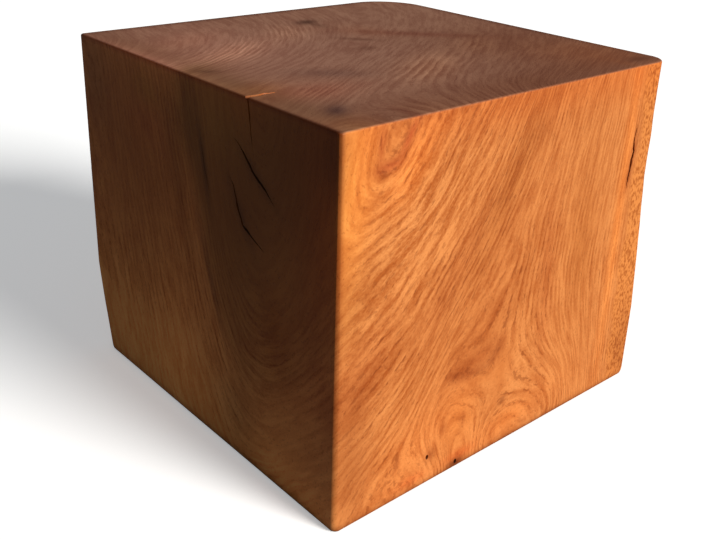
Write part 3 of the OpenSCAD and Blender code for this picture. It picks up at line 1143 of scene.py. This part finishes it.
    StainAndPaintedLight(Face.LEFT, (338, 284), (17, 26), 0, "#F0E6E0", 0.9, 0.7, soak=3.0),
    StainAndPaintedLight(Face.LEFT, (215, 252), (44, 52), 0, "#FFFFFF", 0.8, 1.18),
    StainAndPaintedLight(Face.LEFT, (228, 100), (34, 70), 0, "#FFFFFF", 0.8, 0.82),
    StainAndPaintedLight(Face.LEFT, (142, 75), (36, 85), 0, "#FFFFFF", 0.8, 1.2),
)


# ---- Finish ------------------------------------------------------------------------------


@dataclass(frozen=True)
class Grain:
    """One layer of grain: marks that are thin across the rings and long along them.

    Attributes:
        per_ring: Marks across one ring.
        length: Length of a mark along the ring, in millimetres.
        starts: Level of the noise at which a mark starts to show.
        full: Level at which it shows in full.
    """

    per_ring: float
    length: float
    starts: float
    full: float


@dataclass(frozen=True)
class WoodLayers:
    """The layers that colour the wood, each the output of a node, from 0 to 1.

    Attributes:
        stored: What the mesh stores on each point.
        band: Place within the ring.
        early: Strength of the early wood, which carries the pores.
        pores: Strength of the pore strings.
        specks: Strength of the small scattered pores.
        tone: Depth of tone, palest at 0.
    """

    stored: dict[Stored, Socket]
    band: Socket
    early: Socket
    pores: Socket
    specks: Socket
    tone: Socket


@dataclass(frozen=True)
class OiledHardwood:
    """Ring-porous hardwood, sanded and oiled. That gives the eye open pores in strings along
    each ring, a low warm sheen on the long grain, and a darker, duller face where the end
    grain drinks the oil.

    Growth rings are about 4 to 5 mm apart, as in the wood. A vessel is about 0.3 mm wide,
    too fine to show, so pores, grit and flecks are drawn 1 to 2 mm wide.
    """

    early_wood: str = "#FBA660"
    late_wood: str = "#C2682B"
    pore: str = "#984A16"
    # The end-grain colours also hold a painted sheen: a greyish pink cast for the white
    # surroundings that the oiled top reflects
    end_pale_and_sheen: str = "#E0AC90"
    end_wood_and_sheen: str = "#985C48"
    end_pore: str = "#7E4A38"
    fleck_pale: str = "#F39A50"
    fleck_dark: str = "#C06A2C"
    # Painted shade: the near-black colour that the wood turns to deep inside its wounds
    crack_shade: str = "#22110A"
    roughness: float = 0.46
    end_roughness: float = 0.6
    pore_roughness: float = 0.15
    specular: float = 0.22
    pore_grain: Grain = Grain(3.2, 6.0, 0.50, 0.60)
    speck_grain: Grain = Grain(4.0, 3.0, 0.58, 0.68)
    # Broad bands, streaks and grit, each with its part in the tone
    tone_grains: tuple[tuple[Grain, float], ...] = (
        (Grain(0.4, 60.0, 0.30, 0.70), 0.22),
        (Grain(1.5, 24.0, 0.36, 0.64), 0.42),
        (Grain(4.5, 2.2, 0.28, 0.72), 0.24),
    )
    mean_tone: float = 0.44
    clear_swing: float = 0.6
    calm_swing: float = -0.6
    # The strength of the early wood at places within its ring
    early_stops: tuple[Point, ...] = (
        (0.0, 0.9), (0.2, 1.0), (0.45, 0.15), (0.88, 0.0), (1.0, 0.6))
    weakest_ring: float = 0.55
    weakest_patch: float = 0.45
    early_tone: float = 0.32
    speck_strength: float = 0.3
    string_strength: float = 0.75
    end_pore_strength: float = 0.16
    end_tone: Point = (0.2, 0.55)
    end_lines: Point = (0.03, 0.45)
    # Where a patch of early wood, a fleck, late wood and end grain each start and are full
    patch_range: Point = (0.38, 0.62)
    fleck_range: Point = (0.38, 0.7)
    late_range: Point = (0.35, 0.8)
    end_range: Point = (0.45, 0.9)
    ring_wander: float = 0.45
    wander_length: float = 30.0
    patch_length: float = 55.0
    fleck_size: float = 2.2
    fleck_squash: float = 0.6
    relief: float = 0.12
    relief_strength: float = 0.5

    def make(self) -> bpy.types.Material:
        """Builds the material.

        Returns:
            The finished material.
        """
        material = bpy.data.materials.new("oiled_hardwood")
        material.use_nodes = True
        tree = material.node_tree
        tree.nodes.clear()
        place = add_node(tree, "TexCoord", output="Object")
        tint = add_node(tree, "Attribute", output="Color", attribute_name=TINT)
        stored = {item: add_node(tree, "Attribute", output="Fac", attribute_name=item.value)
                  for item in Stored}
        ring = self.wandering_ring(tree, place, stored[Stored.RING])
        band = add_node(tree, "Math", {0: ring}, operation="FRACT")
        early = self.early_band(tree, place, ring, band, stored[Stored.CALM])
        dashes = self.marks(tree, place, ring, self.pore_grain)
        pores = add_node(tree, "Math", {0: early, 1: dashes}, operation="MULTIPLY")
        specks = self.marks(tree, place, ring, self.speck_grain)
        tone = self.tone(tree, place, ring, stored)
        layers = WoodLayers(stored, band, early, pores, specks, tone)
        is_end = self.end_share(tree)
        sides = self.long_grain(tree, place, layers)
        ends = self.end_grain(tree, layers)
        wood = add_node(tree, "Mix", {0: is_end, 6: sides, 7: ends}, 2, data_type="RGBA")
        tinted = add_node(tree, "Mix", {0: 1.0, 6: wood, 7: tint}, 2,
                          data_type="RGBA", blend_type="MULTIPLY")
        # Painted shade: deep in the wounds the wood darkens to the crack shade colour
        colour = add_node(tree, "Mix", {0: stored[Stored.DEEP], 6: tinted,
                                        7: linear(self.crack_shade)}, 2, data_type="RGBA")
        dull = add_node(tree, "Math", {0: pores, 1: self.pore_roughness, 2: self.roughness},
                        operation="MULTIPLY_ADD")
        rough = add_node(tree, "Mix", {0: is_end, 2: dull, 3: self.end_roughness},
                         data_type="FLOAT")
        hollow = add_node(tree, "Math", {0: pores, 1: specks}, operation="MAXIMUM")
        bump = add_node(tree, "Bump", {"Height": hollow, "Strength": self.relief_strength,
                                       "Distance": self.relief * MM}, invert=True)
        shader = add_node(tree, "BsdfPrincipled", {
            "Base Color": colour, "Roughness": rough, "Normal": bump,
            "Specular IOR Level": self.specular})
        add_node(tree, "OutputMaterial", {"Surface": shader})
        return material

    def wandering_ring(self, tree: Tree, place: Socket, ring: Socket) -> Socket:
        """Lets the rings wander a little, as real ones do.

        Args:
            tree: The material's tree.
            place: Position on the block.
            ring: The ring number that the mesh stores.

        Returns:
            The ring number to draw by.
        """
        slow = add_node(tree, "TexNoise", {
            "Vector": place, "Scale": 1 / (self.wander_length * MM), "Detail": 4.0,
            "Roughness": 0.55}, noise_dimensions="3D")
        middle = add_node(tree, "Math", {0: slow, 1: 0.5}, operation="SUBTRACT")
        return add_node(tree, "Math", {0: middle, 1: 2 * self.ring_wander, 2: ring},
                        operation="MULTIPLY_ADD")

    def marks(self, tree: Tree, place: Socket, ring: Socket, grain: Grain) -> Socket:
        """Draws marks that follow the rings: noise that changes fast from ring to ring and
        slowly along each of them.

        Args:
            tree: The material's tree.
            place: Position on the block.
            ring: The ring number.
            grain: How fine and how long the marks are, and where the noise starts to show.

        Returns:
            The strength of the marks, from 0 to 1.
        """
        # The noise scales its fourth number along with the place, so that is undone here
        across = add_node(tree, "Math", {0: ring, 1: grain.per_ring * grain.length * MM},
                          operation="MULTIPLY")
        cloud = add_node(tree, "TexNoise", {
            "Vector": place, "W": across, "Scale": 1 / (grain.length * MM), "Detail": 2.0,
            "Roughness": 0.5}, noise_dimensions="4D")
        return add_node(tree, "MapRange", {"Value": cloud, "From Min": grain.starts,
                                           "From Max": grain.full},
                        interpolation_type="SMOOTHSTEP")

    def tone(
        self, tree: Tree, place: Socket, ring: Socket, stored: dict[Stored, Socket]
    ) -> Socket:
        """Adds up broad bands, streaks and fine grit into one depth of tone, which swings more
        where the rings are clear and less where the wood is calm.

        Args:
            tree: The material's tree.
            place: Position on the block.
            ring: The ring number.
            stored: What the mesh stores on each point.

        Returns:
            The tone, from 0 where the wood is palest to 1 where it is darkest.
        """
        level: Socket | float = 0.0
        for grain, part in self.tone_grains:
            drawn = self.marks(tree, place, ring, grain)
            level = add_node(tree, "Math", {0: drawn, 1: part, 2: level},
                             operation="MULTIPLY_ADD")
        swing: Socket | float = 1.0
        for item, part in ((Stored.CLEAR, self.clear_swing), (Stored.CALM, self.calm_swing)):
            swing = add_node(tree, "Math", {0: stored[item], 1: part, 2: swing},
                             operation="MULTIPLY_ADD")
        away = add_node(tree, "Math", {0: level, 1: self.mean_tone}, operation="SUBTRACT")
        return add_node(tree, "Math", {0: away, 1: swing, 2: self.mean_tone},
                        operation="MULTIPLY_ADD", use_clamp=True)

    def early_band(
        self, tree: Tree, place: Socket, ring: Socket, band: Socket, calm: Socket
    ) -> Socket:
        """Finds the early wood of each ring, which carries the pores. Rings differ in strength,
        fade in and out along the face and stop where the wood is calm.

        Args:
            tree: The material's tree.
            place: Position on the block.
            ring: The ring number.
            band: Place within the ring, from 0 to 1.
            calm: How calm the wood is, from 0 to 1.

        Returns:
            The strength of the early wood, from 0 to 1.
        """
        level = add_node(tree, "ValToRGB", {0: band})
        stops = level.node.color_ramp.elements
        while len(stops) < len(self.early_stops):
            stops.new(1.0)
        for stop, (position, strength) in zip(stops, self.early_stops):
            stop.position = position
            stop.color = (strength, strength, strength, 1.0)
        whole = add_node(tree, "Math", {0: ring}, operation="FLOOR")
        own = add_node(tree, "TexWhiteNoise", {"W": whole}, noise_dimensions="1D")
        own_level = add_node(tree, "MapRange", {"Value": own, "To Min": self.weakest_ring})
        patch = add_node(tree, "TexNoise", {
            "Vector": place, "Scale": 1 / (self.patch_length * MM), "Detail": 2.0},
            noise_dimensions="3D")
        patch_level = add_node(tree, "MapRange", {
            "Value": patch, "From Min": self.patch_range[0], "From Max": self.patch_range[1],
            "To Min": self.weakest_patch})
        lively = add_node(tree, "Math", {0: 1.0, 1: calm}, operation="SUBTRACT")
        for other in (own_level, patch_level, lively):
            level = add_node(tree, "Math", {0: level, 1: other}, operation="MULTIPLY")
        return level

    def long_grain(self, tree: Tree, place: Socket, layers: WoodLayers) -> Socket:
        """Colours the sides: orange wood, pore strings and, by the front right edge, rays cut
        into short flecks.

        Args:
            tree: The material's tree.
            place: Position on the block.
            layers: The layers that colour the wood.

        Returns:
            The colour.
        """
        tone = add_node(tree, "Math", {0: layers.early, 1: self.early_tone, 2: layers.tone},
                        operation="MULTIPLY_ADD", use_clamp=True)
        wood = add_node(tree, "Mix", {0: tone, 6: linear(self.early_wood),
                                      7: linear(self.late_wood)}, 2, data_type="RGBA")
        for marks, strength in ((layers.specks, self.speck_strength),
                                (layers.pores, self.string_strength)):
            part = add_node(tree, "Math", {0: marks, 1: strength}, operation="MULTIPLY")
            wood = add_node(tree, "Mix", {0: part, 6: wood, 7: linear(self.pore)}, 2,
                            data_type="RGBA")
        squashed = add_node(tree, "VectorMath", {0: place, 1: (1.0, 1.0, self.fleck_squash)},
                            operation="MULTIPLY")
        rays = add_node(tree, "TexNoise", {
            "Vector": squashed, "Scale": 1 / (self.fleck_size * MM), "Detail": 1.0},
            noise_dimensions="3D")
        spots = add_node(tree, "MapRange", {
            "Value": rays, "From Min": self.fleck_range[0], "From Max": self.fleck_range[1]},
            interpolation_type="SMOOTHSTEP")
        flecked = add_node(tree, "Mix", {0: spots, 6: linear(self.fleck_pale),
                                         7: linear(self.fleck_dark)}, 2, data_type="RGBA")
        return add_node(tree, "Mix", {0: layers.stored[Stored.FLECK], 6: wood, 7: flecked}, 2,
                        data_type="RGBA")

    def end_grain(self, tree: Tree, layers: WoodLayers) -> Socket:
        """Colours the sawn ends: red-brown with a painted greyish sheen, with each ring's dense
        late wood paler where the rings stand out, and blurred elsewhere by the oil.

        Args:
            tree: The material's tree.
            layers: The layers that colour the wood.

        Returns:
            The colour.
        """
        late = add_node(tree, "MapRange", {
            "Value": layers.band, "From Min": self.late_range[0],
            "From Max": self.late_range[1]}, interpolation_type="SMOOTHSTEP")
        clear = add_node(tree, "MapRange", {
            "Value": layers.stored[Stored.CLEAR], "To Min": self.end_lines[0],
            "To Max": self.end_lines[1]})
        lines = add_node(tree, "Math", {0: late, 1: clear}, operation="MULTIPLY")
        muted = add_node(tree, "Math", {0: layers.tone, 1: self.end_tone[1],
                                        2: self.end_tone[0]}, operation="MULTIPLY_ADD")
        pale = add_node(tree, "Math", {0: muted, 1: lines}, operation="ADD", use_clamp=True)
        wood = add_node(tree, "Mix", {0: pale, 6: linear(self.end_wood_and_sheen),
                                      7: linear(self.end_pale_and_sheen)}, 2, data_type="RGBA")
        dark = add_node(tree, "Math", {0: layers.pores, 1: layers.specks}, operation="MAXIMUM")
        soft = add_node(tree, "Math", {0: dark, 1: self.end_pore_strength},
                        operation="MULTIPLY")
        return add_node(tree, "Mix", {0: soft, 6: wood, 7: linear(self.end_pore)}, 2,
                        data_type="RGBA")

    def end_share(self, tree: Tree) -> Socket:
        """Works out how much a place shows end grain, by how far it faces up or down.

        Args:
            tree: The material's tree.

        Returns:
            A share from 0 on the sides to 1 on the ends.
        """
        normal = add_node(tree, "NewGeometry", output="True Normal")
        height = add_node(tree, "SeparateXYZ", {0: normal}, "Z")
        upright = add_node(tree, "Math", {0: height}, operation="ABSOLUTE")
        return add_node(tree, "MapRange", {
            "Value": upright, "From Min": self.end_range[0], "From Max": self.end_range[1]},
            interpolation_type="SMOOTHSTEP")


@dataclass
class HardwoodBlock:
    """The whole block: one solid piece of wood with its wounds, grain and finish.

    Wood deeper than the lip below the sanded skin darkens over the crack depth: painted shade
    inside the checks, borer holes and nick. The flecks lie within their width of the front right
    edge and fade to either side, in millimetres.
    """

    shape: BlockShape
    skin: BlockSkin
    wounds: Wounds
    rings: GrowthRings
    finish: OiledHardwood
    stains_and_light: tuple[StainAndPaintedLight, ...] = STAINS_AND_LIGHT
    lip: float = 0.3
    crack_depth: float = 3.0
    crisp_angle: float = math.radians(38)
    fleck_w: float = 34.0
    fleck_fade: Point = (8.0, 12.0)
    fleck_waver: float = 5.0
    fleck_waver_length: float = 25.0
    fleck_seed: float = 2.2

    def build(self) -> bpy.types.Object:
        """Builds the block, dresses it and lets it stand for its CAD node.

        Returns:
            The finished object.
        """
        whole = self.skin.build()
        uncut = BVHTree.FromPolygons([point.co for point in whole.vertices],
                                     [polygon.vertices for polygon in whole.polygons])
        block = put_in_scene("hardwood_block", whole)
        self.wounds.cut_from(block)
        self.grain(block.data, uncut)
        block.data.shade_smooth()
        block.data.set_sharp_from_angle(angle=self.crisp_angle)
        block.data.materials.clear()
        block.data.materials.append(self.finish.make())
        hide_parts(NODE)
        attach(block, BODY)
        return block

    def grain(self, mesh: bpy.types.Mesh, uncut: BVHTree) -> None:
        """Writes what the finish reads on every point: the ring number, the depth below the
        skin, how flecked, clear and calm the wood is, and its tint.

        Args:
            mesh: The block's mesh, with its wounds.
            uncut: The skin before the wounds were cut.
        """
        points = np.empty(len(mesh.vertices) * 3)
        mesh.vertices.foreach_get("co", points)
        points = points.reshape(-1, 3) / MM
        rings = self.rings.number(points)
        depth = np.array([uncut.find_nearest(point.co)[3] for point in mesh.vertices]) / MM
        flecked = self.flecked(points)
        tint = np.ones((len(points), 4))
        clear = np.zeros(len(points))
        calm = flecked
        for tint_patch in self.stains_and_light:
            share = tint_patch.share(points, rings, self.shape)
            clear = np.maximum(clear, share * tint_patch.clears)
            calm = np.maximum(calm, share * tint_patch.calms)
            seen = np.array(linear(tint_patch.seen)[:3]) * tint_patch.gain
            tint[:, :3] *= 1 + (seen - 1) * share[:, None]
        for item, values in (
            (Stored.RING, rings),
            (Stored.DEEP, smooth_step((depth - self.lip) / self.crack_depth)),
            (Stored.FLECK, flecked),
            (Stored.CLEAR, clear),
            (Stored.CALM, np.minimum(calm, 1.0)),
        ):
            layer = mesh.attributes.new(item.value, "FLOAT", "POINT")
            layer.data.foreach_set("value", values)
        layer = mesh.attributes.new(TINT, "FLOAT_COLOR", "POINT")
        layer.data.foreach_set("color", tint.ravel())

    def flecked(self, points: np.ndarray) -> np.ndarray:
        """Works out where rays show as flecks: a strip beside the front right edge.

        Args:
            points: One point a row, in millimetres.

        Returns:
            The share of flecked wood at each point.
        """
        half_w, half_d = self.shape.width / 2, self.shape.foot_depth / 2
        waver = drift(points, self.fleck_waver_length, self.fleck_seed) * self.fleck_waver
        across = half_w - points[:, 0] + waver
        into = points[:, 1] + half_d + waver
        return (smooth_step((self.fleck_w - across) / self.fleck_fade[0])
                * smooth_step((self.fleck_w - into) / self.fleck_fade[1]))


# ---- Studio ------------------------------------------------------------------------------


@dataclass(frozen=True)
class WhitePaper:
    """Matt white paper: no sheen, so the eye sees only a soft shadow on white.

    The camera sees it white, a little bluer than the warm key so that it stays neutral, with
    the block's shadow kept. Light that bounces sees a plain grey, so that the block isn't lit
    from below.
    """

    lit: tuple[float, float, float] = (1.72, 1.84, 1.98)
    glow: float = 0.345
    bounce: float = 0.34

    def make(self) -> bpy.types.Material:
        """Builds the material.

        Returns:
            The finished material.
        """
        material = bpy.data.materials.new("white_paper")
        material.use_nodes = True
        tree = material.node_tree
        tree.nodes.clear()
        seen = add_node(tree, "LightPath", output="Is Camera Ray")
        lit = add_node(tree, "BsdfDiffuse", {"Color": (*self.lit, 1.0)})
        glow = add_node(tree, "Emission", {"Strength": self.glow})
        both = add_node(tree, "AddShader", {0: lit, 1: glow})
        grey = add_node(tree, "BsdfDiffuse", {"Color": (*[self.bounce] * 3, 1.0)})
        mixed = add_node(tree, "MixShader", {0: seen, 1: grey, 2: both})
        add_node(tree, "OutputMaterial", {"Surface": mixed})
        return material


@dataclass
class Studio:
    """A white floor, a low soft key from the front right, a weak sky and the camera.

    The camera's place is in millimetres, and its two directions are those of its picture's
    rows and columns.
    """

    paper: WhitePaper = WhitePaper()
    key_towards: Vector = field(default_factory=lambda: Vector((0.251, -0.906, 0.342)))
    key_strength: float = 3.35
    key_spread: float = math.radians(24)
    key_colour: str = "#FFF6EA"
    sky_strength: float = 0.09
    floor_size: float = 30.0
    sensor: float = 36.0
    focal: float = 46.69
    shift_up: float = -0.0419
    camera_at: Vector = field(default_factory=lambda: Vector((-521.18, -572.15, 464.06)))
    camera_right: Vector = field(default_factory=lambda: Vector((0.75389, -0.65611, 0.03408)))
    camera_up: Vector = field(default_factory=lambda: Vector((0.24133, 0.32479, 0.91448)))

    def build(self) -> None:
        """Builds the studio round the block."""
        self.floor()
        self.key()
        self.sky()
        self.camera()

    def floor(self) -> None:
        """Lays the floor."""
        body = bmesh.new()
        bmesh.ops.create_grid(body, x_segments=1, y_segments=1, size=self.floor_size / 2)
        mesh = bpy.data.meshes.new("floor")
        body.to_mesh(mesh)
        body.free()
        mesh.materials.append(self.paper.make())
        put_in_scene("floor", mesh)

    def key(self) -> None:
        """Hangs the key lamp, so far off that its light falls evenly over the floor."""
        data = bpy.data.lights.new("key", "SUN")
        data.energy = self.key_strength
        data.angle = self.key_spread
        data.color = linear(self.key_colour)[:3]
        lamp = put_in_scene("key", data)
        lamp.location = self.key_towards
        lamp.rotation_euler = self.key_towards.to_track_quat("Z", "Y").to_euler()

    def sky(self) -> None:
        """Sets a weak even sky that the camera sees as white."""
        world = bpy.data.worlds.new("studio_sky")
        world.use_nodes = True
        bpy.context.scene.world = world
        tree = world.node_tree
        tree.nodes.clear()
        seen = add_node(tree, "LightPath", output="Is Camera Ray")
        weak = add_node(tree, "Background", {"Strength": self.sky_strength})
        white = add_node(tree, "Background", {"Color": (1.0, 1.0, 1.0, 1.0), "Strength": 1.0})
        mixed = add_node(tree, "MixShader", {0: seen, 1: weak, 2: white})
        add_node(tree, "OutputWorld", {"Surface": mixed})

    def camera(self) -> None:
        """Places the camera and makes it the scene's own."""
        data = bpy.data.cameras.new("camera")
        data.sensor_width = self.sensor
        data.sensor_fit = "HORIZONTAL"
        data.lens = self.focal
        data.shift_y = self.shift_up
        camera = put_in_scene("camera", data)
        right = self.camera_right.normalized()
        up = (self.camera_up - right * self.camera_up.dot(right)).normalized()
        turn = Matrix((right, up, right.cross(up))).transposed().to_4x4()
        camera.matrix_world = Matrix.Translation(self.camera_at * MM) @ turn
        bpy.context.scene.camera = camera


def main() -> None:
    """Builds the studio and the block, and logs how many points the block has."""
    logging.basicConfig(level=logging.INFO, format="%(name)s: %(message)s")
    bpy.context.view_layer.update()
    bpy.context.scene.view_settings.view_transform = "Standard"
    Studio().build()
    log.info("studio: floor, key, sky and camera")
    shape = BlockShape.from_frame(*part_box(NODE))
    block = HardwoodBlock(
        shape=shape,
        skin=BlockSkin(shape),
        wounds=Wounds(shape),
        rings=GrowthRings(shape, RING_LINES),
        finish=OiledHardwood(),
    ).build()
    log.info("%s: %d points", block.name, len(block.data.vertices))


if __name__ == "__main__":
    main()
